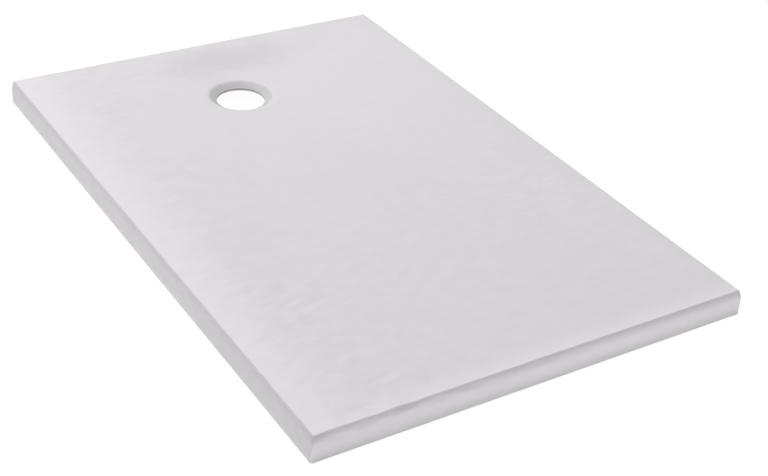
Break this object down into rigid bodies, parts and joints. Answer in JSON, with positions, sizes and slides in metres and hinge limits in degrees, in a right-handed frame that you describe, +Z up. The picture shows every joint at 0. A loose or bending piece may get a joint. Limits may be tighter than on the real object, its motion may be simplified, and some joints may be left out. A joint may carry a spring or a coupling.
{
  "type": "shower tray",
  "caption": "Low rectangular shower tray with a riven slate-like deck falling to a round waste hole near one short end, stiffened underneath.",
  "frame": {"origin": "centre of the tray's footprint, on the floor it stands on", "axes": "+X across the width, +Y along the length towards the waste end, +Z up"},
  "size_m": [0.8, 1.2, 0.0465],
  "materials": {
    "sheet": "satin white, riven slate relief",
    "laminate": "glass-fibre and resin, milky straw",
    "board": "particle board",
    "batten": "planed softwood",
    "rib": "birch plywood"
  },
  "bodies": {
    "root": {"top_shell": "sheet", "fibreglass_backing": "laminate", "waste_stiffener_ring": "rib", "corner_blocks": "batten", "front_deck_board": "board", "middle_deck_board": "board", "rear_left_deck_board": "board", "rear_right_deck_board": "board", "rear_end_deck_board": "board", "left_edge_batten": "batten", "right_edge_batten": "batten", "front_edge_batten": "batten", "rear_edge_batten": "batten", "cross_rib_1": "rib", "cross_rib_2": "rib", "cross_rib_3": "rib", "cross_rib_4": "rib", "trap_pocket_header": "rib", "trap_pocket_left_trimmer": "rib", "trap_pocket_right_trimmer": "rib"}
  },
  "joints": []
}
